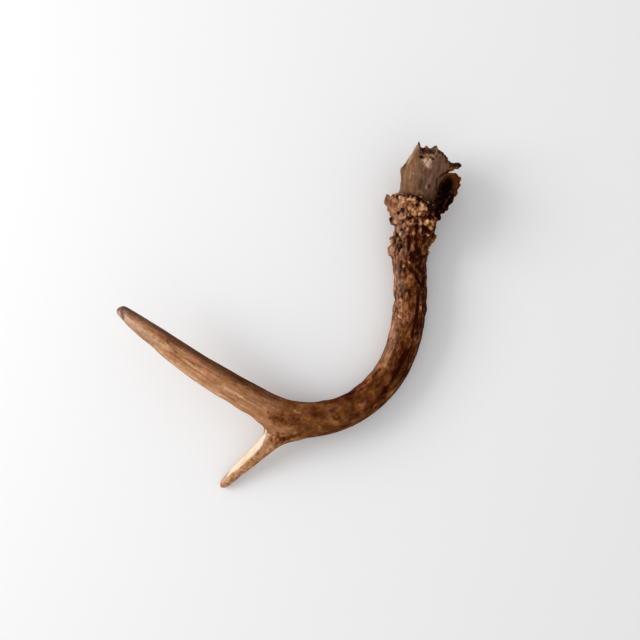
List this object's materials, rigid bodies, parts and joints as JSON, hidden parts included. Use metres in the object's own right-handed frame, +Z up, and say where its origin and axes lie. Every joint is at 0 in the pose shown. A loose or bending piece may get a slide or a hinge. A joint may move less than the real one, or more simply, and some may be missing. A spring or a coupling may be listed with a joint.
{
  "type": "forked deer antler",
  "caption": "Forked deer antler with a flared pearly burr and a broken stub of skull bone, lying on its side; a curved beam, a long point and a short side point.",
  "frame": {"origin": "on the surface the antler lies on, under the middle of its bounding box", "axes": "+X towards the burr's side, away from the long point's tip; +Y from the side point's tip towards the broken skull bone; +Z up"},
  "size_m": [0.2136, 0.2214, 0.0459],
  "materials": {
    "beam_antler": "weathered antler: brown, pearled and grooved, semi-gloss on the worn ridges, dark in the hollows",
    "long_point_antler": "antler rubbed smooth, dark brown along the upper edge and golden tan below, with fine streaks along its length",
    "side_point_antler": "antler rubbed pale and glossy, cream above and tan below",
    "skull_bone": "dull grey-brown bone with fine lengthwise streaks and a porous broken end"
  },
  "bodies": {
    "root": {"beam": "beam_antler", "main_point": "long_point_antler", "side_point": "side_point_antler", "pedicle": "skull_bone"}
  },
  "joints": []
}
